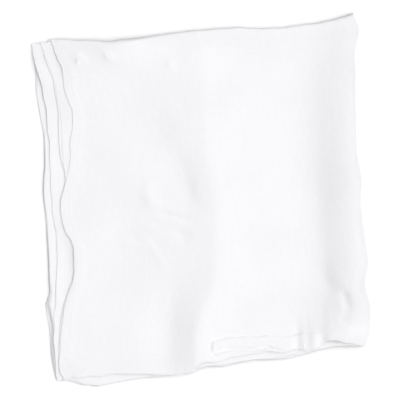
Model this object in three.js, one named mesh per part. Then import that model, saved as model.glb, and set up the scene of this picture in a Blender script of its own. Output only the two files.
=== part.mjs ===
// A fitted crib sheet of light cotton, washed, folded up and lying on a table.
//
// It is one panel of cloth with its hems. It is folded in half across its width, which puts the half
// fold on the right and both side hems on the left, and then back and forth in thirds of its length.
// Six layers lie on each other, counted 1 to 6 from the table up:
//   the foot third is layers 1 and 2, and ends in a hem under the top fold,
//   the middle third is layers 4 and 3, joined to 1 and 2 by the bottom fold,
//   the head third is layers 5 and 6, joined to 4 and 3 by the top fold; its end, with elastic
//   gathered into the hem, lies along the bottom edge.
//
// Millimetres, +X to the half fold, +Y to the top fold, +Z up. The origin is on the table, under the
// middle of the folded sheet.
import * as THREE from "three";

// The cloth, and how it is folded.
const CLOTH_THICKNESS = 1.0;
const HEM_EXTRA = 0.3; // added to the wrong side of the cloth where an edge is turned under
const SIDE_HEM_WIDTH = 16;
const END_HEM_WIDTH = 28;
const HALF_WIDTH = 535; // about, from the side hems to the half fold
const SIDE_HEMS_X = -265; // about, of the side hems
const THIRD_LENGTH = 590; // about, from the bottom fold to the top fold
const LAYER_COUNT = 6;
const LAYER_PITCH = 2.2; // from the middle of one layer to the middle of the next
const WIDEST_TURN = 1.5 * LAYER_PITCH; // radius of a cross fold's outer layer
const SAGGING_LAYERS = [2, 3]; // whose spacing closes past the foot end, where layers 1 and 2 stop
const SAG_LENGTH = 36;
const SAG_SHARE = 0.8;
const MIDDLE_RISE = 0.1; // off the table, because the folded sheet bears on its four corners
const EDGE_RISE = 0.6; // off the table, halfway along an edge
const RISE_STEEPNESS = 2; // so that the rise is complete a sixth of the way in from an edge

// How finely the cloth is divided.
const FOLD_STEPS = 4;
const ACROSS_STRETCHES = [
  { to: 0.055, steps: 2 }, // side hem
  { to: 0.34, steps: 4 },
  { to: 0.56, steps: 6 }, // centre ridge and its troughs
  { to: 0.76, steps: 4 },
  { to: 0.94, steps: 10 }, // gathers
  { to: 1, steps: 3 }, // half fold
];
const FOOT_STRETCHES = [{ to: 1, steps: 5 }];
const MIDDLE_STRETCHES = [
  { to: 0.84, steps: 4 },
  { to: 1, steps: 4 }, // past the foot end
];
const HEAD_STRETCHES = [
  { to: 0.055, steps: 2 }, // end hem
  { to: 0.25, steps: 4 },
  { to: 0.84, steps: 7 },
  { to: 1, steps: 4 }, // past the foot end
];

// The side hem of each layer, x at places from the bottom fold (0) to the top fold (1).
const SIDE_HEMS = [
  { along: 0.0, layer1: -280, layer2: -275, layer3: -275, layer4: -279, layer5: -267, layer6: -266 },
  { along: 0.1, layer1: -284, layer2: -277, layer3: -272, layer4: -277, layer5: -269, layer6: -267 },
  { along: 0.2, layer1: -287, layer2: -276, layer3: -266, layer4: -270, layer5: -261, layer6: -259 },
  { along: 0.3, layer1: -285, layer2: -269, layer3: -256, layer4: -262, layer5: -240, layer6: -238 },
  { along: 0.4, layer1: -283, layer2: -264, layer3: -252, layer4: -256, layer5: -239, layer6: -237 },
  { along: 0.5, layer1: -280, layer2: -266, layer3: -250, layer4: -256, layer5: -251, layer6: -248 },
  { along: 0.6, layer1: -278, layer2: -265, layer3: -246, layer4: -250, layer5: -242, layer6: -237 },
  { along: 0.7, layer1: -274, layer2: -265, layer3: -243, layer4: -247, layer5: -243, layer6: -228 },
  { along: 0.8, layer1: -278, layer2: -266, layer3: -240, layer4: -248, layer5: -244, layer6: -221 },
  { along: 0.9, layer1: -280, layer2: -273, layer3: -240, layer4: -255, layer5: -252, layer6: -229 },
  { along: 1.0, layer1: -284, layer2: -283, layer3: -241, layer4: -265, layer5: -265, layer6: -241 },
];

// The half fold of each third, x at places from the bottom fold (0) to the top fold (1).
const HALF_FOLDS = [
  { along: 0.0, foot: 255, middle: 253, head: 257 },
  { along: 0.03, foot: 260, middle: 258, head: 267 },
  { along: 0.12, foot: 268, middle: 266, head: 275 },
  { along: 0.19, foot: 264, middle: 262, head: 267 },
  { along: 0.25, foot: 268, middle: 266, head: 275 },
  { along: 0.33, foot: 267, middle: 269, head: 272 },
  { along: 0.46, foot: 266, middle: 270, head: 275 },
  { along: 0.59, foot: 264, middle: 263, head: 268 },
  { along: 0.83, foot: 270, middle: 272, head: 278 },
  { along: 0.96, foot: 276, middle: 280, head: 288 },
  { along: 1.0, foot: 272, middle: 277, head: 280 },
];

// The outer lines of the two cross folds and the lower end of layer 6 and 5, y at places from the
// side hems (0) to the half fold (1).
const CROSS_FOLDS = [
  { across: 0.0, top: 295, bottom: -293, footEnd: 290 },
  { across: 0.04, top: 296, bottom: -295, footEnd: 290 },
  { across: 0.08, top: 297, bottom: -304, footEnd: 289 },
  { across: 0.12, top: 296, bottom: -307, footEnd: 288 },
  { across: 0.2, top: 293, bottom: -304, footEnd: 284 },
  { across: 0.3, top: 295, bottom: -302, footEnd: 275 },
  { across: 0.4, top: 297, bottom: -297, footEnd: 264 },
  { across: 0.5, top: 299, bottom: -286, footEnd: 255 },
  { across: 0.6, top: 299, bottom: -282, footEnd: 251 },
  { across: 0.8, top: 295, bottom: -273, footEnd: 250 },
  { across: 0.9, top: 300, bottom: -269, footEnd: 252 },
  { across: 1.0, top: 308, bottom: -268, footEnd: 256 },
];
const HEAD_ENDS = [
  { across: 0.0, layer5: -289, layer6: -291 },
  { across: 0.06, layer5: -287, layer6: -288 },
  { across: 0.19, layer5: -284, layer6: -287 },
  { across: 0.25, layer5: -286, layer6: -292 },
  { across: 0.36, layer5: -290, layer6: -298 },
  { across: 0.42, layer5: -291, layer6: -295 },
  { across: 0.47, layer5: -290, layer6: -283 },
  { across: 0.54, layer5: -287, layer6: -276 },
  { across: 0.66, layer5: -282, layer6: -270 },
  { across: 0.73, layer5: -280, layer6: -274 },
  { across: 0.78, layer5: -277, layer6: -268 },
  { across: 0.84, layer5: -274, layer6: -264 },
  { across: 0.89, layer5: -273, layer6: -258 },
  { across: 0.95, layer5: -272, layer6: -266 },
  { across: 1.0, layer5: -271, layer6: -271 },
];

// Soft ridges and troughs that run up the sheet. Each has a line of x and height at a few y, and a
// width on its left and right. The spacing under each layer takes its share of them.
const SWELL_SHARES = { 2: 0.1, 3: 0.1, 4: 0.15, 5: 0.4, 6: 0.25 };
const SWELLS = [
  // Centre ridge.
  {
    left: 36,
    right: 76,
    line: [
      { y: -300, x: -32, height: 3.5 },
      { y: -250, x: -28, height: 6.5 },
      { y: -200, x: -18, height: 7 },
      { y: -150, x: 3, height: 6.5 },
      { y: -80, x: 10, height: 6 },
      { y: 0, x: 14, height: 5.5 },
      { y: 90, x: 18, height: 5 },
      { y: 180, x: 17, height: 3 },
      { y: 300, x: 17, height: 1 },
    ],
  },
  // Trough beside its lower part.
  {
    left: 30,
    right: 18,
    line: [
      { y: -300, x: -84, height: -1 },
      { y: -245, x: -78, height: -1.8 },
      { y: -170, x: -66, height: -1.6 },
      { y: -110, x: -58, height: 0 },
      { y: 300, x: -58, height: 0 },
    ],
  },
  // Trough beside its upper part.
  {
    left: 26,
    right: 16,
    line: [
      { y: -300, x: -20, height: 0 },
      { y: -20, x: -20, height: 0 },
      { y: 20, x: -32, height: -1.8 },
      { y: 90, x: -46, height: -1.8 },
      { y: 150, x: -70, height: -1 },
      { y: 200, x: -84, height: 0 },
      { y: 300, x: -84, height: 0 },
    ],
  },
  // Valley beside the half fold.
  {
    left: 40,
    right: 20,
    line: [
      { y: -300, x: 200, height: 0 },
      { y: -210, x: 206, height: -0.6 },
      { y: -140, x: 190, height: -1.5 },
      { y: -50, x: 184, height: -1.6 },
      { y: 50, x: 198, height: -1.5 },
      { y: 160, x: 210, height: -1.2 },
      { y: 260, x: 220, height: -0.6 },
      { y: 310, x: 224, height: 0 },
    ],
  },
];

// Places where one layer stands off the layer under it.
const LIFTS = [
  { layer: 6, x: 262, y: 240, wide: 24, long: 70, height: 3.4 }, // half fold, upper end
  { layer: 6, x: 250, y: 110, wide: 24, long: 90, height: 4.6 },
  { layer: 6, x: 246, y: -30, wide: 26, long: 90, height: 5 },
  { layer: 6, x: 252, y: -125, wide: 24, long: 40, height: 4 },
  { layer: 6, x: 254, y: -222, wide: 22, long: 36, height: 4.6 }, // half fold, lower end
  { layer: 5, x: -238, y: -85, wide: 34, long: 44, height: 4.6 }, // side hems of the head third
  { layer: 3, x: -262, y: 60, wide: 30, long: 60, height: 1.2 },
  { layer: 6, x: 185, y: -268, wide: 42, long: 30, height: 2.4 }, // arch at the gathers
];

// The gathers of layer 6 above its end: x and height of each crest and hollow.
const GATHERS = [
  { x: 120, height: 0 },
  { x: 138, height: 0.8 },
  { x: 148, height: -1.4 },
  { x: 156, height: 1.8 },
  { x: 164, height: -1.4 },
  { x: 178, height: 2.4 },
  { x: 193, height: -1.4 },
  { x: 204, height: 2.4 },
  { x: 216, height: -1.4 },
  { x: 227, height: 1.8 },
  { x: 240, height: 0 },
];
const GATHERS_END_Y = -268;
const GATHERS_LENGTH = 34;

// The value of a column at a place between the rows of a table, on a smooth curve through them.
function between(rows, place, column, at) {
  const last = rows.length - 1;
  if (at <= rows[0][place]) return rows[0][column];
  if (at >= rows[last][place]) return rows[last][column];
  const i = rows.findIndex((row) => row[place] > at) - 1;
  const slope = (j) => {
    const before = rows[Math.max(j - 1, 0)];
    const after = rows[Math.min(j + 1, last)];
    return (after[column] - before[column]) / (after[place] - before[place]);
  };
  const span = rows[i + 1][place] - rows[i][place];
  const t = (at - rows[i][place]) / span;
  const rise = t * t * (3 - 2 * t);
  const startTangent = t * (1 - t) * (1 - t) * span * slope(i);
  const endTangent = t * t * (t - 1) * span * slope(i + 1);
  return THREE.MathUtils.lerp(rows[i][column], rows[i + 1][column], rise) + startTangent + endTangent;
}

// A soft hump of height 1 at distance 0.
function hump(distance, width) {
  return Math.exp(-((distance / width) ** 2));
}

// The height that the ridges and troughs add at a point.
function swellAt(x, y) {
  let height = 0;
  for (const swell of SWELLS) {
    const off = x - between(swell.line, "y", "x", y);
    height += between(swell.line, "y", "height", y) * hump(off, off < 0 ? swell.left : swell.right);
  }
  return height;
}

function gathersAt(x, y) {
  return between(GATHERS, "x", "height", x) * hump(y - GATHERS_END_Y, GATHERS_LENGTH);
}

// How much of its spacing a layer keeps where the cloth comes down past the foot end.
function heldUp(layer, x, y) {
  if (!SAGGING_LAYERS.includes(layer)) return 1;
  const footEnd = between(CROSS_FOLDS, "across", "footEnd", (x - SIDE_HEMS_X) / HALF_WIDTH);
  return 1 - SAG_SHARE * THREE.MathUtils.smoothstep(y, footEnd, footEnd + SAG_LENGTH);
}

// How far the middle of a layer lies above the middle of the layer under it.
function spacing(layer, x, y) {
  let height = LAYER_PITCH + SWELL_SHARES[layer] * swellAt(x, y);
  for (const lift of LIFTS) {
    if (lift.layer !== layer) continue;
    height += lift.height * hump(x - lift.x, lift.wide) * hump(y - lift.y, lift.long);
  }
  if (layer === LAYER_COUNT) height += gathersAt(x, y);
  return height * heldUp(layer, x, y);
}

// The height of the middle of the cloth at a level: 1 to 6 at the layers, and between them in a fold.
function heightAt(x, y, level) {
  const layer = Math.min(Math.floor(level), LAYER_COUNT - 1);
  let height = CLOTH_THICKNESS / 2;
  for (let below = 2; below <= layer; below++) height += spacing(below, x, y);
  return height + (level - layer) * spacing(layer + 1, x, y);
}

// How far the cloth stands off the table: not at all at the corners, most halfway along an edge.
function riseAt(across, along) {
  const inX = Math.min(1, RISE_STEEPNESS * Math.sin(Math.PI * across));
  const inY = Math.min(1, RISE_STEEPNESS * Math.sin(Math.PI * along));
  return EDGE_RISE * (inX + inY) - (2 * EDGE_RISE - MIDDLE_RISE) * inX * inY;
}

// Even places in each stretch of a table, from 0 to 1.
function places(stretches) {
  const list = [0];
  for (const { to, steps } of stretches) {
    const from = list[list.length - 1];
    for (let step = 1; step <= steps; step++) list.push(from + ((to - from) * step) / steps);
  }
  return list;
}

// The inner points of a fold: how far round it they are, from -1 to 1, and how far out, from 0 to 1.
function foldTurns() {
  const list = [];
  for (let step = 1; step < FOLD_STEPS; step++) {
    const angle = Math.PI * (step / FOLD_STEPS - 0.5);
    list.push({ round: Math.sin(angle), out: Math.cos(angle) });
  }
  return list;
}

// Stations across the cloth: the lower half from its side hem to the half fold, the fold, and the
// upper half back to its side hem. upper is 0 on the lower half and 1 on the upper half.
function stationsAcross() {
  const half = places(ACROSS_STRETCHES);
  return [
    ...half.map((at) => ({ at, upper: 0, out: 0 })),
    ...foldTurns().map(({ round, out }) => ({ at: 1, upper: (1 + round) / 2, out })),
    ...half.map((at) => ({ at, upper: 1, out: 0 })).reverse(),
  ];
}

// The two cross folds. Each joins a third under it to a third over it, and goes round from -1 to 1.
const BOTTOM_FOLD = {
  level: (round, upper) => 2.5 + (1.5 - upper) * round,
  radius: (upper) => (1.5 - upper) * LAYER_PITCH,
  direction: -1,
  thirds: ["foot", "middle"],
};
const TOP_FOLD = {
  level: (round, upper) => 4.5 + (0.5 + upper) * round,
  radius: (upper) => (0.5 + upper) * LAYER_PITCH,
  direction: 1,
  thirds: ["middle", "head"],
};
const LAYERS = {
  foot: ["layer1", "layer2"],
  middle: ["layer4", "layer3"],
  head: ["layer5", "layer6"],
};

// Stations along the cloth: the foot third from its end to the bottom fold, the middle third from
// there to the top fold, and the head third back to its end at the bottom edge.
function stationsAlong() {
  const foot = places(FOOT_STRETCHES);
  const middle = places(MIDDLE_STRETCHES);
  const head = places(HEAD_STRETCHES);
  return [
    ...foot.map((at) => ({ at, fold: BOTTOM_FOLD, round: -1, out: 0 })).reverse(),
    ...foldTurns().map(({ round, out }) => ({ at: 0, fold: BOTTOM_FOLD, round, out })),
    ...middle.map((at) => ({ at, fold: TOP_FOLD, round: -1, out: 0 })),
    ...foldTurns().map(({ round, out }) => ({ at: 1, fold: TOP_FOLD, round, out })),
    ...head.map((at) => ({ at, fold: TOP_FOLD, round: 1, out: 0 })).reverse(),
  ];
}

// Where a third's cloth starts and ends in y, at a place across it.
function reachOf(third, at, upper) {
  const low = between(CROSS_FOLDS, "across", "bottom", at) + WIDEST_TURN;
  const high = between(CROSS_FOLDS, "across", "top", at) - WIDEST_TURN;
  if (third === "middle") return { low, high };
  if (third === "foot") return { low, high: between(CROSS_FOLDS, "across", "footEnd", at) };
  const ends = ["layer5", "layer6"].map((layer) => between(HEAD_ENDS, "across", layer, at));
  return { low: THREE.MathUtils.lerp(ends[0], ends[1], upper), high };
}

// The middle of the cloth at a station across and a station along.
function clothAt(across, along) {
  const { at, upper, out } = across;
  const { fold, round } = along;
  const over = (1 + round) / 2; // 0 on the third under the fold, 1 on the third over it
  const mixed = (value) => THREE.MathUtils.lerp(value(fold.thirds[0]), value(fold.thirds[1]), over);
  const low = mixed((third) => reachOf(third, at, upper).low);
  const high = mixed((third) => reachOf(third, at, upper).high);
  const y = THREE.MathUtils.lerp(low, high, along.at) + fold.direction * along.out * fold.radius(upper);
  const side = mixed((third) => between(SIDE_HEMS, "along", LAYERS[third][upper < 0.5 ? 0 : 1], along.at));
  const halfFold = mixed((third) => between(HALF_FOLDS, "along", third, along.at));
  const gap = heightAt(halfFold, y, fold.level(round, 1)) - heightAt(halfFold, y, fold.level(round, 0));
  const radius = Math.abs(gap) / 2;
  const x = THREE.MathUtils.lerp(side, halfFold - radius, at) + out * radius;
  return new THREE.Vector3(x, y, heightAt(x, y, fold.level(round, upper)) + riseAt(at, along.at));
}

// Whether a station across and a station along meet on a hem.
function isHem(across, along) {
  if (across.at * HALF_WIDTH < SIDE_HEM_WIDTH) return true;
  if (along.round === 1) return along.at * THIRD_LENGTH < END_HEM_WIDTH;
  if (along.fold === BOTTOM_FOLD) return (1 - along.at) * THIRD_LENGTH < END_HEM_WIDTH;
  return false;
}

// The sheet as one closed body: the right side and the wrong side of the cloth, and its cut rim.
function foldedSheet() {
  const across = stationsAcross();
  const along = stationsAlong();
  const columns = across.length;
  const rows = along.length;

  const middle = new THREE.BufferGeometry();
  const points = along.flatMap((row) => across.map((column) => clothAt(column, row)));
  middle.setFromPoints(points);
  const faces = [];
  for (let row = 0; row + 1 < rows; row++) {
    for (let column = 0; column + 1 < columns; column++) {
      const corner = row * columns + column;
      faces.push(corner, corner + 1, corner + columns);
      faces.push(corner + 1, corner + columns + 1, corner + columns);
    }
  }
  middle.setIndex(faces);
  middle.computeVertexNormals();

  const normal = new THREE.Vector3();
  const rightSide = [];
  const wrongSide = [];
  points.forEach((point, i) => {
    normal.fromBufferAttribute(middle.attributes.normal, i);
    const hem = isHem(across[i % columns], along[Math.floor(i / columns)]) ? HEM_EXTRA : 0;
    rightSide.push(point.clone().addScaledVector(normal, CLOTH_THICKNESS / 2));
    wrongSide.push(point.clone().addScaledVector(normal, -CLOTH_THICKNESS / 2 - hem));
  });

  const shell = [...faces];
  const count = points.length;
  for (let i = 0; i < faces.length; i += 3) {
    shell.push(faces[i] + count, faces[i + 2] + count, faces[i + 1] + count);
  }
  const rim = [];
  for (let column = 0; column < columns; column++) rim.push(column);
  for (let row = 1; row < rows; row++) rim.push(row * columns + columns - 1);
  for (let column = columns - 2; column >= 0; column--) rim.push((rows - 1) * columns + column);
  for (let row = rows - 2; row > 0; row--) rim.push(row * columns);
  rim.forEach((from, i) => {
    const to = rim[(i + 1) % rim.length];
    shell.push(from, from + count, to);
    shell.push(to, from + count, to + count);
  });

  const geometry = new THREE.BufferGeometry().setFromPoints([...rightSide, ...wrongSide]);
  geometry.setIndex(shell);
  geometry.computeBoundingBox();
  const { min, max } = geometry.boundingBox;
  geometry.translate(-(min.x + max.x) / 2, -(min.y + max.y) / 2, -min.z);
  geometry.computeVertexNormals();
  return geometry;
}

const whiteCotton = new THREE.MeshStandardMaterial({ color: 0xf5f4f7, roughness: 0.9, metalness: 0 });
const sheet = new THREE.Mesh(foldedSheet(), whiteCotton);
sheet.name = "folded_sheet";

const cribSheet = new THREE.Group();
cribSheet.add(sheet);
export default cribSheet;
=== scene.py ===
"""A fitted crib sheet of washed white cotton, folded up and lying on a table.

The sheet is one piece of cloth. A flat slab of cloth, with places across it and along it, is cut first,
and one function then lays every point of it in its fold: in half across its width, and back and forth
in thirds of its length. The middle and the lower side of the folded solid from the CAD model give its
place.

Lengths are in millimetres until they go into a mesh, which is in metres.
+X goes to the half fold, +Y to the top fold and +Z up. Layers are counted 1 to 6 from the table up.
"""
import math

import bmesh
import bpy
import numpy as np
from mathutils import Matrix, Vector


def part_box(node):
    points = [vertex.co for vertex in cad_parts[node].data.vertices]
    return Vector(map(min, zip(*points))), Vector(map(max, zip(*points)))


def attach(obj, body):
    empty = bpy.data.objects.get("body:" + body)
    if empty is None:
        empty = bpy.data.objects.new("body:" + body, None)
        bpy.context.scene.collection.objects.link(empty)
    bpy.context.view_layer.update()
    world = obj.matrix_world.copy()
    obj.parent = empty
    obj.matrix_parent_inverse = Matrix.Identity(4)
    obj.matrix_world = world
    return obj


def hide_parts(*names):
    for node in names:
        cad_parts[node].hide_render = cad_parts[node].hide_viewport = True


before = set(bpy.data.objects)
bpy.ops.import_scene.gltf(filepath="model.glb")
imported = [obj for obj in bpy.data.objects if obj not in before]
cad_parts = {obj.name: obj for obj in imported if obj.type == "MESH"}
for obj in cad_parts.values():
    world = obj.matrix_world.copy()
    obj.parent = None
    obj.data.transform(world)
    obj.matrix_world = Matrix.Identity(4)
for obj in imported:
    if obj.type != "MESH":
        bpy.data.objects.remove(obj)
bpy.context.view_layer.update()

MM = 0.001

# ---------------------------------------------------------------- the cloth and how it is folded

CLOTH = 0.27  # thickness
HEM_EXTRA = 0.1  # on the wrong side, where an edge is turned under
HEM_STEP = 0.6  # half the width of the step from a hem to the single cloth
SIDE_HEM = 16  # width
END_HEM = 36
SIDE_STITCH = 13  # from the edge to the line of stitches
END_STITCH = 33.5
STITCH_PULL = 0.1  # how far a line of stitches draws the cloth in
SIDE_PULL_WIDTH = 1.1
END_PULL_WIDTH = 1.3
HALF_WIDTH = 535  # from the side hems to the half fold
SIDE_HEMS_X = -265  # about
THIRD = 590  # from the bottom fold to the top fold
BOTTOM_FOLD_Y = -293  # about
LAYERS = 6
PITCH = 2.2  # from the middle of one layer to the middle of the next
WIDEST_TURN = 1.5 * PITCH  # how far out the outer turn of a cross fold reaches, if it is round
TOP_FOLD_REACH = 1.7  # how much further the top fold's turns reach than round ones
TURN_REACH = 1.1  # how far out the half fold's turns reach, where the layers stand well apart
TURN_ROUND = 1.15  # 1 for a turn with straight sloping sides, 2 for a round one
CLOSED = {2: 0.7, 3: 0.36, 4: 0.52, 5: 0.36, 6: 0.48}  # from a layer to the one under it, at its side hem
CLOSER = 0.06  # the most by which a layer comes closer still
CLOSE_SHARPNESS = 12  # how sharply it stops there
CLOSING = 270  # how far in from its side hems a layer comes down on the layer under it
CLOSING_POWER = 1.5
SIDE_CURL_X = (-290, -30)  # the curl of the side hems is full up to the first, and gone from the second
MIDDLE_RISE = 0.1  # of the sheet's middle off the table, because it bears on its four corners
EDGE_RISE = 0.6  # and half way along each side
SAGGING_LAYERS = (2, 3)  # these come down beyond the foot end
SAG_LENGTH = 36  # over which they come down
SAG_SHARE = 0.8  # of their height
TO_LEFT = 1.2  # how far the cloth's middle lies to the left of the solid's middle
STITCH_ROOM = 0.45  # under the cloth, for the stitches of its lowest hems


def table(columns, *rows):
    """A table with named columns."""
    return dict(zip(columns.split(), np.array(rows, float).T))


# The side hem of each layer: x at places from the bottom fold (0) to the top fold (1).
SIDE_HEMS = table(
    "along layer1 layer2 layer3 layer4 layer5 layer6",
    (0.0, -280, -278, -268, -267, -266, -265),
    (0.03, -283, -278, -274, -273, -272, -271),
    (0.06, -286, -278, -274, -273, -272, -271),
    (0.09, -286, -278, -271, -270, -269, -268),
    (0.12, -285, -278, -269, -268, -267, -266),
    (0.15, -285, -277, -267, -266, -265, -263),
    (0.18, -286, -275, -264, -263, -262, -260),
    (0.21, -288, -273, -260, -258, -256.5, -255),
    (0.23, -288, -270, -257, -255, -253.5, -252),
    (0.24, -282, -270, -254, -253, -251.5, -250),
    (0.27, -281, -267, -243, -243, -243, -243),
    (0.3, -280, -266, -235, -235, -236, -237),
    (0.33, -279, -265, -230, -230, -232, -233),
    (0.36, -279, -262, -230, -230, -232, -233),
    (0.4, -279, -262, -232, -232, -234, -235),
    (0.44, -278, -261, -244, -244, -245, -246),
    (0.49, -279, -266, -248, -249, -250, -251),
    (0.53, -279, -265, -247, -247, -248, -249),
    (0.565, -279.5, -265, -241, -242, -242, -242),
    (0.6, -278.5, -265, -236, -239, -238, -236),
    (0.65, -273.5, -264, -236, -244, -240, -227),
    (0.7, -271.5, -262, -236, -245, -240, -226),
    (0.74, -272, -263, -236, -244, -239, -220),
    (0.77, -274, -264, -236, -244, -239, -218),
    (0.8, -276, -264, -237, -243, -241, -219),
    (0.83, -277, -265, -238, -245, -243, -226),
    (0.86, -279, -268, -240, -246, -245, -230),
    (0.9, -279, -271, -242, -249, -248, -230),
    (0.925, -279, -276, -244, -254, -252, -232),
    (0.95, -278.5, -278.5, -247, -259, -258, -238),
    (1.0, -281, -281, -252, -266, -266, -246),
)

# The half fold of the head third: x at places from the bottom fold (0) to the top fold (1).
HALF_FOLD = table(
    "along x",
    (0.0, 258),
    (0.03, 265.5),
    (0.047, 268),
    (0.08, 271.2),
    (0.12, 272.6),
    (0.15, 268.9),
    (0.19, 266),
    (0.222, 270.5),
    (0.25, 273.8),
    (0.29, 273),
    (0.33, 271.5),
    (0.4, 268.5),
    (0.435, 268.5),
    (0.47, 270.5),
    (0.503, 272.5),
    (0.54, 271),
    (0.59, 268),
    (0.71, 271),
    (0.83, 275),
    (0.888, 275.5),
    (0.924, 282.5),
    (0.96, 287),
    (0.985, 284),
    (1.0, 280),
)
FOOT_INSIDE = 1  # how far inside it the half fold of the foot third lies
MIDDLE_INSIDE = 2  # and of the middle third

# The outer lines of the two cross folds, and the foot end: y at places from the side hems (0) to the
# half fold (1).
CROSS_FOLDS = table(
    "across top bottom foot_end",
    (0.0, 298.5, -294, 293),
    (0.04, 298, -296, 293),
    (0.08, 294, -304, 291),
    (0.12, 292.5, -306, 289),
    (0.15, 291, -307, 287),
    (0.2, 289, -302, 284),
    (0.26, 289.5, -300, 278),
    (0.3, 290.5, -299, 275),
    (0.4, 295, -298, 264),
    (0.425, 295, -299.5, 261),
    (0.44, 295, -292.5, 259),
    (0.455, 296, -286, 258),
    (0.5, 296.5, -289, 255),
    (0.578, 297, -285.5, 252),
    (0.657, 294, -281.5, 251),
    (0.735, 291, -283.5, 250),
    (0.815, 292, -277.5, 250),
    (0.894, 296, -268.5, 252),
    (0.972, 303, -271.5, 255),
    (1.0, 307, -271, 256),
)

# The head end, which lies along the bottom edge: y of layers 5 and 6.
HEAD_ENDS = table(
    "across layer5 layer6",
    (0.0, -289, -291),
    (0.05, -287, -290),
    (0.15, -285, -288),
    (0.22, -285, -289),
    (0.36, -290, -296),
    (0.42, -289, -293),
    (0.455, -284.5, -279),
    (0.52, -284, -277),
    (0.56, -282.5, -272.5),
    (0.62, -280, -269),
    (0.675, -279, -266.5),
    (0.735, -278, -270),
    (0.775, -275, -266),
    (0.79, -274, -268),
    (0.83, -271.5, -267.5),
    (0.852, -270, -265.5),
    (0.872, -268.5, -256),
    (0.905, -266.5, -255.5),
    (0.94, -266.5, -261),
    (0.97, -268.5, -265.5),
    (1.0, -269.5, -269),
)

# Soft ridges and troughs that run up the sheet: the line of each, and its width to the left and right.
SWELL_SHARES = {2: 0.1, 3: 0.1, 4: 0.15, 5: 0.4, 6: 0.25}  # how much of them each layer takes up
CENTRE_RIDGE = table(
    "y x height left right",
    (-300, -35, 4, 26, 66),
    (-250, -33, 6.4, 26, 66),
    (-200, -24, 6.4, 30, 66),
    (-150, 0, 6.2, 66, 66),
    (-80, 13, 6, 90, 66),
    (0, 16, 6, 90, 66),
    (45, 12, 5.8, 88, 66),
    (90, 8, 5.6, 84, 66),
    (180, 8, 4.5, 80, 70),
    (300, 10, 1.5, 80, 80),
)
LOWER_TROUGH = table(
    "y x height left right",
    (-300, -84, -1, 34, 18),
    (-245, -80, -1.8, 34, 18),
    (-170, -70, -1.8, 34, 18),
    (-110, -60, 0, 34, 18),
    (300, -58, 0, 34, 18),
)
UPPER_TROUGH = table(
    "y x height left right",
    (-300, -22, 0, 40, 12),
    (-30, -22, 0, 40, 12),
    (0, -25, -1.5, 40, 12),
    (34, -32, -2.7, 44, 14),
    (64, -41, -2.8, 52, 22),
    (80, -54, -2.8, 56, 30),
    (98, -70, -2.7, 56, 38),
    (127, -74, -2.6, 56, 32),
    (145, -77, -2.1, 56, 32),
    (168, -80, 0, 56, 34),
    (300, -80, 0, 56, 34),
)
RIGHT_VALLEY = table(
    "y x height left right",
    (-300, 176, -0.6, 50, 40),
    (-210, 178, -1.6, 50, 36),
    (-150, 190, -1.8, 60, 24),
    (-100, 193, -1.7, 60, 20),
    (-50, 193, -1.6, 60, 20),
    (0, 193, -1.6, 60, 22),
    (50, 190, -1.8, 56, 30),
    (160, 192, -1.6, 50, 36),
    (260, 200, -0.6, 50, 36),
    (310, 204, 0, 50, 36),
)
HALF_FOLD_PUFF = table(
    "y x height left right",
    (-300, 262, 0.2, 70, 150),
    (-266, 262, 2.4, 84, 150),
    (-254, 262, 4.6, 90, 150),
    (-238, 262, 7.4, 92, 150),
    (-215, 262, 10.6, 84, 150),
    (-180, 262, 12.4, 62, 150),
    (-140, 260, 12.2, 56, 150),
    (-80, 259, 11.4, 54, 150),
    (-20, 259, 11, 54, 150),
    (50, 260, 10.6, 56, 150),
    (120, 264, 10, 58, 150),
    (190, 268, 8, 58, 150),
    (260, 274, 4.6, 54, 150),
    (310, 282, 2.6, 44, 150),
)
SWELLS = (LOWER_TROUGH, UPPER_TROUGH, RIGHT_VALLEY)
LIP_HEIGHT = 0.5  # of the pressed half fold, whose edge stands up a little
LIP_WIDTH = 2.6
CREST_ROUND = 8  # how softly the centre ridge's crest is rounded

# How far the layers stand off the table along their side hems. The lowest hem comes down to the table:
# it is flat for some way from its edge, and rises over the next stretch.
SIDE_CURL = table(
    "y height flat rising",
    (-310, 0.6, 0, 2),
    (-285, 1.6, 0, 3),
    (-270, 3.6, 0, 5),
    (-250, 4.8, 0, 8),
    (-215, 4.8, 0, 8),
    (-203, 4.2, 2, 6),
    (-194, 3.8, 5, 2.2),
    (-163, 3.6, 5.4, 2.2),
    (-156, 3.4, 0, 2),
    (-83, 3, 0, 2),
    (-40, 2.4, 0, 2),
    (-8, 0.8, 0, 2),
    (20, 2.4, 0, 2),
    (56, 2.6, 0, 2),
    (95, 2.6, 0, 2),
    (120, 1.8, 0, 2),
    (142, 0.5, 0, 2),
    (225, 0.4, 0, 2),
    (250, 1.4, 0, 2),
    (266, 2.4, 0, 2),
    (285, 0.8, 0, 2),
    (310, 0.6, 0, 2),
)

# The bulge of layer 2 and of the layers on it, along their side hems.
HEM_BULGE = table(
    "y x height left right",
    (-300, -262, 0, 9, 50),
    (-190, -254, 0.2, 9, 50),
    (-150, -240, 1, 9, 50),
    (-118, -232, 1.9, 9, 50),
    (-88, -229, 2.4, 9, 50),
    (-58, -231, 2.1, 9, 50),
    (-32, -243, 0.9, 9, 50),
    (0, -246, 0, 9, 50),
    (300, -246, 0, 9, 50),
)

# Broad low mounds and hollows of the top layer, with their widths to the left, the right and along.
MOUNDS = table(
    "x y left right long height",
    (-130, 25, 42, 42, 60, 0.8),
    (-138, 266, 84, 90, 34, 5),
    (-150, -40, 30, 30, 30, -0.6),
    (228, -243, 60, 24, 15, 2),
    (262, -208, 46, 22, 26, 2.2),
)

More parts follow.
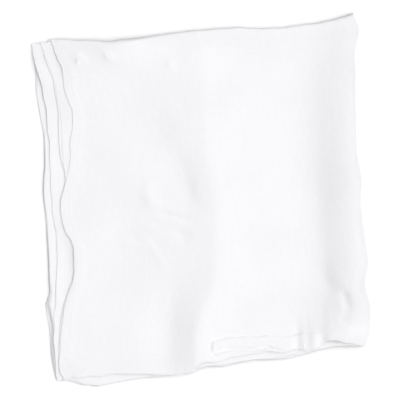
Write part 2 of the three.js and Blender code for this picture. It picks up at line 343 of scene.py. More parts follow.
# Places where one layer stands off the layer under it, or comes down on it.
LIFTS = table(
    "layer x y left right long height",
    (2, -270, 238, 20, 20, 20, 2.4),
    (2, -212, 225, 56, 170, 80, 4),
    (2, -264, 130, 24, 60, 70, 0.5),
    (2, -276, -140, 20, 20, 20, 0.7),
    (5, -140, -292, 110, 110, 10, 1),
    (6, -60, -285, 260, 260, 11, 1.2),
    (6, -240, -291, 7, 7, 5, 3),
    (5, 222, -262, 84, 58, 34, 4.4),
    (6, 232, -268, 66, 40, 14, -2.6),
    (6, 120, -271, 230, 60, 10, 2.2),
    (6, 166, -268, 34, 60, 18, 0.6),
)

# The gathers of layer 6 above its end: each crest and hollow, and how far up they reach.
GATHERS = table(
    "x height",
    (128, 0),
    (135, -0.2),
    (143.5, -2.2),
    (152.5, 1.2),
    (160, -0.4),
    (168, 2.2),
    (176, 1.8),
    (188, 1),
    (196, 3.2),
    (200, 2.4),
    (205, 2.9),
    (209, 2),
    (213, 2.5),
    (217, 1.7),
    (225, 1.8),
    (238, 0.5),
    (250, 0.4),
    (262, 0.2),
)
GATHERS_END_Y = -268
GATHERS_LENGTH = 34

# ---------------------------------------------------------------- the finer relief of the top layer

# Small creases: the middle, the direction in degrees, the length, the width and height of the fold,
# and how far it bows to its left.
CREASES = table(
    "x y angle length width height bend",
    (-54, -25, -18, 118, 3, -2.6, 0),
    (228, -162, 125, 110, 9, 1.2, 0),
    (-138, -64, -59, 44, 6, 1, 0),
    (-93, -72, -58, 124, 6, 0.9, -6),
    (-46, -52, -26, 66, 7, -1, 0),
    (-44, -62, 80, 44, 8, -0.8, 0),
    (-95, 11, 110, 84, 11, 1.5, 0),
    (-100, -38, -37, 60, 8, 1, 0),
    (-184.5, -50, 92, 26, 2.5, 1, 0),
    (-202, 260, 84, 36, 5, 2.4, 0),
    (-152, 261, -58, 44, 5, 2.6, 0),
    (-166, 273, 70, 22, 7, 0.8, 0),
    (-128, 252, -30, 30, 5, 0.8, 0),
    (-105, 283, 6, 62, 2.6, 1.5, 0),
    (-60, 262, 10, 40, 4, 1, 0),
    (-44, 240, 80, 34, 8, 1.3, 0),
    (232, -184, 104, 44, 6, -2.8, 2),
    (201, -152, 117, 64, 9, -1.3, 0),
    (256, -159, 86, 42, 5, -1.2, 0),
    (190, -203, 88, 40, 3, -0.9, 0),
    (204, -197, 95, 26, 2.5, -0.8, 0),
    (184, -180, 84, 30, 3, 0.7, 0),
    (146, -232, 82, 36, 3.5, -1, 0),
    (229, -215, 70, 44, 5, -1.1, 2),
)

# The elastic in the head end's hem, on the upper half: its upper and lower side above the end, and how
# much of its lines of stitches shows.
ELASTIC = table(
    "across upper lower groove",
    (0.492, 38.5, 15.5, 1),
    (0.54, 38, 15.5, 1),
    (0.605, 33.5, 10, 1),
    (0.67, 29.5, 6, 0.9),
    (0.73, 28, 3, 0.7),
    (0.77, 29, 3, 0.4),
    (0.8, 32, 5, 0),
    (0.85, 30, 5, 0),
)
ELASTIC_HEIGHT = 1.1
ELASTIC_RISE = 3  # width of the slope along its sides
ELASTIC_START = 0.005  # and at its two ends, as shares of the way across
ELASTIC_FINISH = 0.02
ELASTIC_STITCHED = 0.76  # where its lower line of stitches stops showing
ELASTIC_GROOVE = 2.4  # depth of its lines of stitches
ELASTIC_GROOVE_WIDTH = 1.6
ELASTIC_TACK = 0.7  # and where its end is sewn down
SEAM_X = (10, 200)  # where the foot end shows through the top, as a faint groove
SEAM_Y = (256, 248)
SEAM_DEPTH = 1.4
SEAM_WIDTH = 2
SEAM_FADES = (20, 40)  # over which its two ends fade out

# The unevenness of each layer, and of its edges: the height and the wavelengths.
LAYER_WAVES = {2: 0.06, 3: 0.07, 4: 0.07, 5: 0.09, 6: 0.1}
LAYER_WAVELENGTHS = (70, 190)
EDGE_WAVES = 0.6
EDGE_WAVELENGTHS = (9, 60)
SIDE_HEM_SEED = 20  # plus the layer
BOTTOM_FOLD_SEED = 31
TOP_FOLD_SEED = 32
LAYER_5_END_SEED = 33
LAYER_6_END_SEED = 34


def waves(x, y, seed, wavelengths, height, count=14):
    """A soft uneven surface, the same on every run."""
    shortest, longest = wavelengths
    rng = np.random.default_rng(seed)
    total = np.zeros(np.broadcast(x, y).shape)
    for _ in range(count):
        length = shortest * (longest / shortest) ** rng.random()
        heading = rng.random() * 2 * math.pi
        phase = rng.random() * 2 * math.pi
        run = (x * math.cos(heading) + y * math.sin(heading)) * 2 * math.pi / length
        total = total + np.sin(run + phase)
    return total * height * math.sqrt(2 / count)


def between(rows, place, column, at):
    """The value of a column at places between the rows of a table, on a smooth curve through them."""
    places, values = rows[place], rows[column]
    at = np.clip(at, places[0], places[-1])
    i = np.clip(np.searchsorted(places, at, side="right") - 1, 0, len(places) - 2)
    rank = np.arange(len(places))
    before, after = np.maximum(rank - 1, 0), np.minimum(rank + 1, len(places) - 1)
    slopes = (values[after] - values[before]) / (places[after] - places[before])
    span = places[i + 1] - places[i]
    part = (at - places[i]) / span
    rise = values[i] + (values[i + 1] - values[i]) * part * part * (3 - 2 * part)
    leaving = part * (1 - part) ** 2 * span * slopes[i]
    arriving = part * part * (part - 1) * span * slopes[i + 1]
    return rise + leaving + arriving


def edge_waves(place, seed):
    """The small unevenness of an edge at places along it, in millimetres."""
    return waves(place, 0 * place, seed, EDGE_WAVELENGTHS, EDGE_WAVES)


def hump(distance, width):
    """A rounded bump: 1 in its middle, and near 0 at twice its width."""
    return np.exp(-((distance / width) ** 2))


def tent(distance, width):
    """A crest with a rounded top and sides that fall off slowly."""
    return np.exp((CREST_ROUND - np.sqrt(distance**2 + CREST_ROUND**2)) / width)


def smooth(value, start, end):
    """0 up to start, 1 from end on, and a soft step between them."""
    part = np.clip((value - start) / (end - start), 0, 1)
    return part * part * (3 - 2 * part)


def mix(low, high, part):
    """low where part is 0, and high where it is 1."""
    return low + (high - low) * part


def ridge_at(line, x, y, shape=hump):
    """The height that a ridge or trough adds."""
    off = x - between(line, "y", "x", y)
    width = np.where(off < 0, between(line, "y", "left", y), between(line, "y", "right", y))
    return between(line, "y", "height", y) * shape(off, width)


def mound_at(x, y, middle_x, middle_y, left, right, long, height):
    """The height that a mound or hollow adds."""
    wide = np.where(x < middle_x, left, right)
    return height * hump(x - middle_x, wide) * hump(y - middle_y, long)


def creases_at(x, y):
    """The small creases of the top layer."""
    height = 0
    for cx, cy, angle, length, width, deep, bend in zip(*CREASES.values()):
        c, s = math.cos(math.radians(angle)), math.sin(math.radians(angle))
        run = ((x - cx) * c + (y - cy) * s) / (length / 2)
        off = (y - cy) * c - (x - cx) * s - bend * (1 - run**2)
        fade = np.clip(1 - run**2, 0, 1) ** 2
        height = height + deep * fade * hump(off, width)
    return height


def elastic_at(at, from_end):
    """How far the elastic lifts the cloth, at a place across and above the head end."""
    upper = between(ELASTIC, "across", "upper", at)
    lower = between(ELASTIC, "across", "lower", at)
    above_lower = smooth(from_end, lower, lower + ELASTIC_RISE)
    below_upper = 1 - smooth(from_end, upper - ELASTIC_RISE, upper)
    inside = above_lower * below_upper
    grooves = hump(from_end - lower, ELASTIC_GROOVE_WIDTH) + hump(from_end - upper, ELASTIC_GROOVE_WIDTH)
    grooves = grooves * between(ELASTIC, "across", "groove", at)
    first, last = ELASTIC["across"][0], ELASTIC["across"][-1]
    along = smooth(at, first, first + ELASTIC_START) * (1 - smooth(at, last - ELASTIC_FINISH, last))
    tack = hump((at - first) * HALF_WIDTH, ELASTIC_GROOVE_WIDTH) * inside
    return along * (ELASTIC_HEIGHT * inside - ELASTIC_GROOVE * grooves) - ELASTIC_TACK * tack


def seam_at(x, y):
    """The groove over the foot end."""
    start, end = SEAM_X
    seam_y = np.interp(x, SEAM_X, SEAM_Y)
    shown = smooth(x, start, start + SEAM_FADES[0]) * (1 - smooth(x, end - SEAM_FADES[1], end))
    return SEAM_DEPTH * shown * hump(y - seam_y, SEAM_WIDTH)


def lip_at(x, y):
    """The lip of the pressed half fold."""
    edge = between(HALF_FOLD, "along", "x", (y - BOTTOM_FOLD_Y) / THIRD) - TURN_REACH
    return LIP_HEIGHT * np.exp(-np.maximum(edge - x, 0) / LIP_WIDTH)


def side_hem_x(layer, along):
    """Where a layer's side hem ends, at places from the bottom fold (0) to the top fold (1)."""
    hem = between(SIDE_HEMS, "along", f"layer{layer}", along)
    return hem + edge_waves(along * THIRD, SIDE_HEM_SEED + layer)


def side_curl_at(x, y, level):
    """How far the layers stand off the table along their side hems."""
    height = between(SIDE_CURL, "y", "height", y) * (1 - smooth(x, *SIDE_CURL_X))
    flat = between(SIDE_CURL, "y", "flat", y)
    rising = between(SIDE_CURL, "y", "rising", y)
    from_edge = x - side_hem_x(1, (y - BOTTOM_FOLD_Y) / THIRD)
    down = 1 - np.clip((from_edge - flat) / rising, 0, 1)
    return height * (1 - down * np.clip(2 - level, 0, 1))


def closing_at(from_edge):
    """How far the layers close towards their side hems: 1 at the edge, and 0 from CLOSING on."""
    return (1 - np.clip(from_edge / CLOSING, 0, 1)) ** CLOSING_POWER


def top_relief_at(x, y):
    """What the top layer has of its own: the puff, mounds, seam, lip, gathers and creases."""
    height = ridge_at(HALF_FOLD_PUFF, x, y)
    for mound in zip(*MOUNDS.values()):
        height = height + mound_at(x, y, *mound)
    height = height - seam_at(x, y) + lip_at(x, y)
    gathers = between(GATHERS, "x", "height", x)
    height = height + gathers * hump(y - GATHERS_END_Y, GATHERS_LENGTH)
    return height + creases_at(x, y)


def spacing(layer, x, y):
    """How far the middle of a layer lies above the middle of the layer under it."""
    swell = ridge_at(CENTRE_RIDGE, x, y, tent) + sum(ridge_at(line, x, y) for line in SWELLS)
    height = PITCH + SWELL_SHARES[layer] * swell
    for of, *mound in zip(*LIFTS.values()):
        if of == layer:
            height = height + mound_at(x, y, *mound)
    height = height + waves(x, y, layer, LAYER_WAVELENGTHS, LAYER_WAVES[layer])
    if layer == 2:
        height = height + ridge_at(HEM_BULGE, x, y)
    if layer == LAYERS:
        height = height + top_relief_at(x, y)
    along = (y - BOTTOM_FOLD_Y) / THIRD
    from_edge = x - side_hem_x(layer, along)
    height = mix(height - PITCH + CLOSED[layer], height, 1 - closing_at(from_edge))
    if layer in SAGGING_LAYERS:
        foot_end = between(CROSS_FOLDS, "across", "foot_end", (x - SIDE_HEMS_X) / HALF_WIDTH)
        return height * (1 - SAG_SHARE * smooth(y, foot_end, foot_end + SAG_LENGTH))
    least = CLOSED[layer] - CLOSER
    return np.logaddexp((height - least) * CLOSE_SHARPNESS, 0) / CLOSE_SHARPNESS + least


def height_at(x, y, level):
    """The middle of the cloth at a level: 1 to 6 at the layers, and between them in a fold."""
    height = CLOTH / 2
    for layer in range(2, LAYERS + 1):
        height = height + spacing(layer, x, y) * np.clip(level - layer + 1, 0, 1)
    return height


# ---------------------------------------------------------------- laying the cloth in its folds
#
# A place across runs from 0 to 3: the lower half from its side hem to the half fold, round the half
# fold, and the upper half back to its side hem. A place along runs from 0 to 5: the foot third from its
# end, round the bottom fold, the middle third, round the top fold, and the head third to its end.

UPPER_HALF_STARTS = (1.9, 2)  # the elastic comes in over the last of the half fold's turn
NEAR = 0.5  # distance between the places that a slope is measured over
NEAR_IN_TURN = 0.02  # and in a turn, as a share of it


def across_of(s):
    """Three values: at runs from a side hem (0) to the half fold (1). upper is 0 on the lower half and 1
    on the upper half. out is how far a turn reaches out, from 0 to 1.
    """
    up = np.sin(math.pi * (np.clip(s - 1, 0, 1) - 0.5))
    at = np.where(s <= 1, s, np.where(s < 2, 1, 3 - s))
    return at, (1 + up) / 2, 1 - np.abs(up) ** TURN_ROUND


def along_of(t):
    """at runs from the bottom fold (0) to the top fold (1). For each fold, how far up it a place is, from
    -1 to 1, and how far the turn reaches out there, from 0 to 1.
    """
    at = np.select([t <= 1, t < 2, t <= 3, t < 4], [1 - t, 0 * t, t - 2, 0 * t + 1], 5 - t)
    bottom = math.pi * (np.clip(t - 1, 0, 1) - 0.5)
    top = math.pi * (np.clip(t - 3, 0, 1) - 0.5)
    return at, np.sin(bottom), np.cos(bottom), np.sin(top), np.cos(top)


def level_of(t, upper, bottom_round, top_round):
    """The bottom fold joins layers 1 and 2 to 4 and 3, and the top fold joins 4 and 3 to 5 and 6."""
    return np.where(t < 2.5, 2.5 + (1.5 - upper) * bottom_round, 4.5 + (0.5 + upper) * top_round)


def cross_lines(at, upper, foot, head):
    """y at the lower and upper end of the third that a place is in, or goes over to in a fold."""
    run = at * HALF_WIDTH
    low_folds = between(CROSS_FOLDS, "across", "bottom", at) + WIDEST_TURN
    low_folds = low_folds + edge_waves(run, BOTTOM_FOLD_SEED)
    high_folds = between(CROSS_FOLDS, "across", "top", at) - WIDEST_TURN * TOP_FOLD_REACH
    high_folds = high_folds + edge_waves(run, TOP_FOLD_SEED)
    layer_5_end = between(HEAD_ENDS, "across", "layer5", at) + edge_waves(run, LAYER_5_END_SEED)
    layer_6_end = between(HEAD_ENDS, "across", "layer6", at) + edge_waves(run, LAYER_6_END_SEED)
    head_end = mix(layer_5_end, layer_6_end, upper)
    foot_end = between(CROSS_FOLDS, "across", "foot_end", at)
    return mix(low_folds, head_end, head), mix(high_folds, foot_end, foot)


def side_lines(along, upper, foot, middle, head):
    """x at the side hem and at the half fold."""
    side = 0
    for third, lower_layer, upper_layer in ((foot, 1, 2), (middle, 4, 3), (head, 5, 6)):
        lower_x = side_hem_x(lower_layer, along)
        upper_x = side_hem_x(upper_layer, along)
        side = side + third * np.where(upper < 0.5, lower_x, upper_x)
    half_fold = between(HALF_FOLD, "along", "x", along) - foot * FOOT_INSIDE - middle * MIDDLE_INSIDE
    return side, half_fold


def rise_at(at, along):
    """How far the folded sheet stands off the table: least at its corners, most half way along its sides."""
    in_x = np.minimum(1, 2 * np.sin(math.pi * np.clip(at, 0, 1)))
    in_y = np.minimum(1, 2 * np.sin(math.pi * np.clip(along, 0, 1)))
    return EDGE_RISE * (in_x + in_y) - (2 * EDGE_RISE - MIDDLE_RISE) * in_x * in_y


def middle_at(s, t):
    """The middle of the cloth, as x, y and z, at places across and along it."""
    at, upper, out = across_of(s)
    along, bottom_round, bottom_out, top_round, top_out = along_of(t)
    foot = (1 - bottom_round) / 2
    head = (1 + top_round) / 2
    middle = 1 - foot - head

    low, high = cross_lines(at, upper, foot, head)
    turn = (0.5 + upper) * top_out * TOP_FOLD_REACH - (1.5 - upper) * bottom_out
    y = mix(low, high, along) + turn * PITCH

    side, half_fold = side_lines(along, upper, foot, middle, head)
    over = height_at(half_fold, y, level_of(t, 1, bottom_round, top_round))
    under = height_at(half_fold, y, level_of(t, 0, bottom_round, top_round))
    radius = TURN_REACH * np.tanh(np.abs(over - under) / 2 / TURN_REACH)
    x = mix(side, half_fold - radius, at) + out * radius

    level = level_of(t, upper, bottom_round, top_round)
    z = height_at(x, y, level) + side_curl_at(x, y, level) + rise_at(at, along)
    z = z + elastic_at(at, (5 - t) * THIRD) * smooth(s, *UPPER_HALF_STARTS)
    return np.stack([x, y, z], -1)


def edge_distances(s, t):
    """How far a place is from the nearer side hem's edge, and from the nearer end."""
    at = across_of(s)[0]
    return at * HALF_WIDTH, np.minimum(t, 5 - t) * THIRD


def hem_at(s, t):
    """1 on the hems and 0 on the single cloth."""
    side, end = edge_distances(s, t)
    on_side = 1 - smooth(side, SIDE_HEM - HEM_STEP, SIDE_HEM + HEM_STEP)
    on_end = 1 - smooth(end, END_HEM - HEM_STEP, END_HEM + HEM_STEP)
    return np.maximum(on_side, on_end)


def stitched_at(s, t):
    """1 on the lines of stitches, where the thread draws the cloth in."""
    side, end = edge_distances(s, t)
    return np.maximum(hump(side - SIDE_STITCH, SIDE_PULL_WIDTH), hump(end - END_STITCH, END_PULL_WIDTH))


def lay(s, t, face):
    """Where points of the slab lie: face is 1 on the right side of the cloth and -1 on the wrong side."""
    on_turn_s = (s > 1) & (s < 2)
    on_turn_t = ((t > 1) & (t < 2)) | ((t > 3) & (t < 4))
    step_s = np.where(on_turn_s, NEAR_IN_TURN, NEAR / HALF_WIDTH)
    step_t = np.where(on_turn_t, NEAR_IN_TURN, NEAR / THIRD)
    right = middle_at(s + step_s, t) - middle_at(s - step_s, t)
    ahead = middle_at(s, t + step_t) - middle_at(s, t - step_t)
    normal = np.cross(ahead, right)
    normal /= np.linalg.norm(normal, axis=-1, keepdims=True)
    right_side = CLOTH / 2 - STITCH_PULL * stitched_at(s, t)
    wrong_side = -right_side - HEM_EXTRA * hem_at(s, t)
    offset = mix(wrong_side, right_side, (1 + face) / 2)
    return middle_at(s, t) + normal * offset[..., None], normal


# ---------------------------------------------------------------- the slab


def stations(*stretches):
    """Places from 0 to 1: each stretch is where it ends and its number of steps."""
    places = [0.0]
    for end, steps in stretches:
        start = places[-1]
        places += [start + (end - start) * step / steps for step in range(1, steps + 1)]
    return np.array(places)


HEM_STEPS = ((0.002, 1), (0.022, 2), (0.027, 2), (0.031, 2))
LOWER_HALF = stations(
    (0.002, 1), (0.022, 9), (0.027, 2), (0.031, 2), (0.12, 4), (0.9, 15), (0.985, 4), (0.997, 1), (1, 1)
)
UPPER_HALF = stations(
    *HEM_STEPS, (0.27, 12), (0.475, 18), (0.505, 6), (0.76, 14), (0.98, 20), (0.997, 2), (1, 2)
)
FOOT_THIRD = stations((0.02, 2), (0.94, 27), (0.964, 3), (1, 3))
MIDDLE_THIRD = stations((0.02, 2), (0.92, 27), (1, 6))
HEAD_THIRD = stations(
    (0.03, 6), (0.054, 5), (0.06, 2), (0.078, 3), (0.32, 13), (0.56, 22), (0.905, 19), (0.935, 5), (0.97, 3),
    (1, 4)
)
TURN = stations((1, 9))
TOP_CUTS = 2  # extra cuts in each cell of the top of the sheet
ROUNDING = 0.001  # allowed for, where a place is compared
RIM = 0.35  # how far the folded edge of a hem is rounded
RIM_LOOPS = ((0.7, 0.7), (0, 1), (-0.7, 0.7))  # face, and share of RIM, of each loop round the edge


def slab_places():
    """The places across and along the cloth at which the slab has its points."""
    across = np.concatenate([LOWER_HALF, 1 + TURN[1:-1], 3 - UPPER_HALF[::-1]])
    along = np.concatenate(
        [1 - FOOT_THIRD[::-1], 1 + TURN[1:-1], 2 + MIDDLE_THIRD, 3 + TURN[1:-1], 5 - HEAD_THIRD[::-1]]
    )
    return across, along


def slab():
    """The cloth before it is folded, as a closed mesh whose points are (across, along, face)."""
    across, along = slab_places()
    columns, rows = len(across), len(along)
    s, t = np.meshgrid(across, along)
    flat = np.stack([s.ravel(), t.ravel()], 1)
    count = len(flat)
    corner = np.arange(count).reshape(rows, columns)
    quads = np.stack([corner[:-1, :-1], corner[:-1, 1:], corner[1:, 1:], corner[1:, :-1]], -1).reshape(-1, 4)

    ring = np.concatenate([corner[0, :-1], corner[:-1, -1], corner[-1, :0:-1], corner[:0:-1, 0]])
    edge = flat[ring]
    outward = np.stack(
        [
            (np.isclose(edge[:, 0], 3) * 1.0 - np.isclose(edge[:, 0], 0)) / HALF_WIDTH,
            (np.isclose(edge[:, 1], 5) * 1.0 - np.isclose(edge[:, 1], 0)) / THIRD,
        ],
        1,
    )
    points = [np.column_stack([flat, np.ones(count)]), np.column_stack([flat, -np.ones(count)])]
    loops = [ring]
    for number, (face, share) in enumerate(RIM_LOOPS):
        points.append(np.column_stack([edge + outward * RIM * share, np.full(len(edge), face)]))
        loops.append(2 * count + number * len(ring) + np.arange(len(ring)))
    loops.append(ring + count)
    faces = [quads, (quads + count)[:, ::-1]]
    for upper, lower in zip(loops[:-1], loops[1:]):
        faces.append(np.stack([np.roll(upper, -1), upper, lower, np.roll(lower, -1)], 1))

    mesh = bpy.data.meshes.new("folded_sheet_cloth")
    mesh.from_pydata(np.concatenate(points).tolist(), [], np.concatenate(faces).tolist())
    cut_top(mesh)
    return mesh


def is_top(vertex):
    """Whether a point of the slab is on the upper half, the head third and the right side."""
    across, along, face = vertex.co
    return across > 2 - ROUNDING and along > 4 - ROUNDING and face > 1 - ROUNDING


def cut_top(mesh):
    """Cuts the cells of the sheet's top finer, while the mesh is still the slab."""
    cloth = bmesh.new()
    cloth.from_mesh(mesh)
    top = [edge for edge in cloth.edges if all(is_top(vertex) for vertex in edge.verts)]
    bmesh.ops.subdivide_edges(cloth, edges=top, cuts=TOP_CUTS, use_grid_fill=True)
    cloth.to_mesh(mesh)
    cloth.free()


def read_points(mesh):
    flat = np.empty(len(mesh.vertices) * 3)
    mesh.vertices.foreach_get("co", flat)
    return flat.reshape(-1, 3)


def write_points(mesh, points):
    mesh.vertices.foreach_set("co", np.asarray(points, float).ravel())
    mesh.update()


def make_cloth():
    """The sheet, folded, on the place of its CAD solid. Also gives the shift that puts it there."""
    mesh = slab()
    s, t, face = read_points(mesh).T
    points, _ = lay(s, t, face)
    lo, hi = (np.array(corner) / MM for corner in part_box("folded_sheet"))
    shift = (lo + hi) / 2 - (points.min(0) + points.max(0)) / 2
    shift[0] = shift[0] - TO_LEFT
    shift[2] = lo[2] - points[:, 2].min() + STITCH_ROOM
    write_points(mesh, (points + shift) * MM)

    lengths = flat_places(s, t)
    corner_vertex = np.empty(len(mesh.loops), int)
    mesh.loops.foreach_get("vertex_index", corner_vertex)
    layer = mesh.uv_layers.new(name="cloth_metres")
    layer.data.foreach_set("uv", lengths[corner_vertex].ravel())
    for polygon in mesh.polygons:
        polygon.use_smooth = True
    cloth = bpy.data.objects.new("folded_sheet_cloth", mesh)
    bpy.context.scene.collection.objects.link(cloth)
    return cloth, shift


def flat_places(s, t):
    """Metres across and along the flat cloth."""
    turn = math.pi * PITCH / 2
    wide = np.interp(s, [0, 1, 2, 3], np.cumsum([0, HALF_WIDTH, turn, HALF_WIDTH]))
    long = np.interp(t, [0, 1, 2, 3, 4, 5], np.cumsum([0, THIRD, 2 * turn, THIRD, 2 * turn, THIRD]))
    return np.stack([wide, long], -1) * MM


# ---------------------------------------------------------------- the stitches

STITCH = 2.1  # length
STITCH_PITCH = 3.1
THREAD = 0.26  # thickness
STITCH_SIDES = 5
STITCH_RINGS = ((-0.5, 0.25), (-0.32, 1.0), (0.32, 1.0), (0.5, 0.25))  # place, and share of the thickness
THREAD_STANDS = 0.1  # how far the middle of a stitch stands up, as a share of the thickness
THREAD_DIVES = 0.7  # how much lower it would be a whole stitch further on
ELASTIC_STITCH_PLACES = 24  # along its lower line


def line_of_stitches(ends):
    """Stitches on a line of (across, along) places: the middle of each, and a place before and after it."""
    ends = np.array(ends, float)
    flat = flat_places(ends[:, 0], ends[:, 1]) / MM
    run = np.concatenate([[0], np.cumsum(np.linalg.norm(np.diff(flat, axis=0), axis=1))])
    count = int(run[-1] / STITCH_PITCH)
    at = (np.arange(count) + 0.5) * run[-1] / count
    spots, earlier, later = (
        np.stack([np.interp(place, run, ends[:, 0]), np.interp(place, run, ends[:, 1])], 1)
        for place in (at, at - NEAR, at + NEAR)
    )
    return spots, earlier, later


def stitch_lines():
    """The side hems, the end hems, the lower side of the elastic, and its end that is sewn down."""
    side = SIDE_STITCH / HALF_WIDTH
    end = END_STITCH / THIRD
    lines = [
        [(side, 0), (side, 5)],
        [(3 - side, 0), (3 - side, 5)],
        [(0, end), (3, end)],
        [(0, 5 - end), (3, 5 - end)],
    ]
    across = np.linspace(ELASTIC["across"][0], ELASTIC_STITCHED, ELASTIC_STITCH_PLACES)
    lower = between(ELASTIC, "across", "lower", across) / THIRD
    lines.append(list(zip(3 - across, 5 - lower)))
    tack = ELASTIC["across"][0]
    low, high = ELASTIC["lower"][0] / THIRD, ELASTIC["upper"][0] / THIRD
    lines.append([(3 - tack, 5 - low), (3 - tack, 5 - high)])
    return lines


def thread_points(spots, earlier, later, face):
    """The rings of points round each stitch, on one face of the cloth."""
    all_on_face = np.full(len(spots), face)
    middle, normal = lay(spots[:, 0], spots[:, 1], all_on_face)
    start, _ = lay(earlier[:, 0], earlier[:, 1], all_on_face)
    finish, _ = lay(later[:, 0], later[:, 1], all_on_face)
    ahead = finish - start
    ahead /= np.linalg.norm(ahead, axis=1, keepdims=True)
    normal = normal * face
    beside = np.cross(normal, ahead)
    points = []
    for place, share in STITCH_RINGS:
        for side in range(STITCH_SIDES):
            angle = 2 * math.pi * side / STITCH_SIDES
            out = beside * math.cos(angle) + normal * math.sin(angle)
            lift = normal * THREAD * (THREAD_STANDS - abs(place) * THREAD_DIVES)
            points.append(middle + ahead * STITCH * place + out * THREAD / 2 * share + lift)
    return points


def stitch_faces():
    """The faces of one stitch: its sides from ring to ring, and its two ends."""
    faces = []
    for ring in range(len(STITCH_RINGS) - 1):
        for side in range(STITCH_SIDES):
            a = ring * STITCH_SIDES + side
            b = ring * STITCH_SIDES + (side + 1) % STITCH_SIDES
            faces.append((a, b, b + STITCH_SIDES, a + STITCH_SIDES))
    each = len(STITCH_RINGS) * STITCH_SIDES
    return faces + [tuple(range(STITCH_SIDES))[::-1], tuple(range(each - STITCH_SIDES, each))]


def make_stitches(shift):
    """The thread of every line of stitches, on both sides of the cloth, as one joined mesh."""
    lines = map(line_of_stitches, stitch_lines())
    spots, earlier, later = (np.concatenate(part) for part in zip(*lines))
    points = thread_points(spots, earlier, later, 1) + thread_points(spots, earlier, later, -1)
    each = len(STITCH_RINGS) * STITCH_SIDES
    cloud = np.stack(points, 1).reshape(-1, 3)
    pattern = stitch_faces()
    faces = []
    for start in range(0, len(cloud), each):
        faces += [tuple(start + k for k in face) for face in pattern]
    mesh = bpy.data.meshes.new("hem_stitches")
    mesh.from_pydata(((cloud + shift) * MM).tolist(), [], faces)
    for polygon in mesh.polygons:
        polygon.use_smooth = len(polygon.vertices) == 4
    stitches = bpy.data.objects.new("hem_stitches", mesh)
    bpy.context.scene.collection.objects.link(stitches)
    return stitches


# ---------------------------------------------------------------- materials


class Nodes:
    """A short way of making and joining the nodes of a material or of the world."""

    def __init__(self, owner):
        owner.use_nodes = True
        self.tree = owner.node_tree
        self.tree.nodes.clear()

    def add(self, kind, inputs=None, **settings):
        """A node with its settings, and each input given as a value or as another node's output."""
        node = self.tree.nodes.new(kind)
        for key, value in settings.items():
            setattr(node, key, value)
        for key, value in (inputs or {}).items():
            if isinstance(value, bpy.types.NodeSocket):
                self.tree.links.new(value, node.inputs[key])
            else:
                node.inputs[key].default_value = value
        return node

    def math(self, operation, *values):
        return self.add("ShaderNodeMath", dict(enumerate(values)), operation=operation).outputs[0]

    def noise(self, place, scale, detail, roughness):
        inputs = {"Vector": place, "Scale": scale, "Detail": detail, "Roughness": roughness}
        return self.add("ShaderNodeTexNoise", inputs).outputs["Fac"]

    def colour(self, factor, low, high):
        mix_colours = self.add("ShaderNodeMix", {"Factor": factor, "A": low, "B": high}, data_type="RGBA")
        return mix_colours.outputs["Result"]

    def bump(self, height, strength, distance, under=None):
        """A bump of so many metres, on top of another one."""
        inputs = {"Strength": strength, "Distance": distance, "Height": height}
        if under is not None:
            inputs["Normal"] = under
        return self.add("ShaderNodeBump", inputs).outputs[0]

    def finish(self, colour, shader):
        """Colours the shader and makes it the material's surface."""
        self.tree.links.new(colour, shader.inputs["Base Color"])
        self.add("ShaderNodeOutputMaterial", {"Surface": shader.outputs[0]})


WEAVE = 0.00042  # from one thread to the next, in metres
SLUBS = (420, 16, 1)  # how many to a metre, across and along the cloth
PICKS = (14, 380, 1)
CRUMPLES = 85  # to a metre
PATCHES = 9
COTTON = (0.92, 0.917, 0.935, 1)
COTTON_SHADE = (0.898, 0.895, 0.917, 1)
THREAD_COLOUR = (0.92, 0.915, 0.93, 1)
# painted shade: the thread's colour in the grooves between its plies
PAINTED_PLY_GROOVE_SHADE = (0.86, 0.86, 0.875, 1)
TABLE_COLOUR = (0.93, 0.93, 0.935, 1)
TABLE_BOUNCE = (0.3, 0.3, 0.3, 1)  # the colour by which the table lights the cloth
TABLE_GLOW = 0.1


def cotton_material():
    """Washed plain-weave cotton: threads, slubs along the cloth, picks across it, and a small crumple."""
    material = bpy.data.materials.new("washed_cotton")
    n = Nodes(material)
    uv = n.add("ShaderNodeUVMap", uv_map="cloth_metres").outputs["UV"]
    cloth = n.add("ShaderNodeSeparateXYZ", {"Vector": uv})
    warp = n.math("SINE", n.math("MULTIPLY", cloth.outputs["X"], 2 * math.pi / WEAVE))
    weft = n.math("SINE", n.math("MULTIPLY", cloth.outputs["Y"], 2 * math.pi / WEAVE))
    weave = n.math("MULTIPLY", warp, weft)

    slub_space = n.add("ShaderNodeMapping", {"Vector": uv, "Scale": SLUBS})
    slubs = n.noise(slub_space.outputs[0], scale=1, detail=3, roughness=0.6)
    pick_space = n.add("ShaderNodeMapping", {"Vector": uv, "Scale": PICKS})
    picks = n.noise(pick_space.outputs[0], scale=1, detail=2, roughness=0.5)
    crumple = n.noise(uv, scale=CRUMPLES, detail=3, roughness=0.55)
    patches = n.noise(uv, scale=PATCHES, detail=2, roughness=0.5)

    shade = n.math("ADD", n.math("MULTIPLY", slubs, 0.45), n.math("MULTIPLY", patches, 0.55))
    shade = n.add(
        "ShaderNodeMapRange",
        {"Value": shade, "From Min": 0.35, "From Max": 0.65, "To Min": 0.0, "To Max": 1.0},
        interpolation_type="SMOOTHSTEP",
    ).outputs[0]
    colour = n.colour(shade, COTTON_SHADE, COTTON)

    fine = n.bump(weave, strength=0.12, distance=0.0001)
    threads = n.math("ADD", slubs, n.math("MULTIPLY", picks, 0.6))
    streaks = n.bump(threads, strength=0.35, distance=0.00035, under=fine)
    crumpled = n.bump(crumple, strength=0.5, distance=0.0009, under=streaks)
    shader = n.add(
        "ShaderNodeBsdfPrincipled",
        {
            "Roughness": n.math("MULTIPLY_ADD", slubs, 0.08, 0.86),
            "Specular IOR Level": 0.25,
            "Sheen Weight": 0.15,
            "Sheen Roughness": 0.5,
            "Normal": crumpled,
        },
    )
    n.finish(colour, shader)
    return material


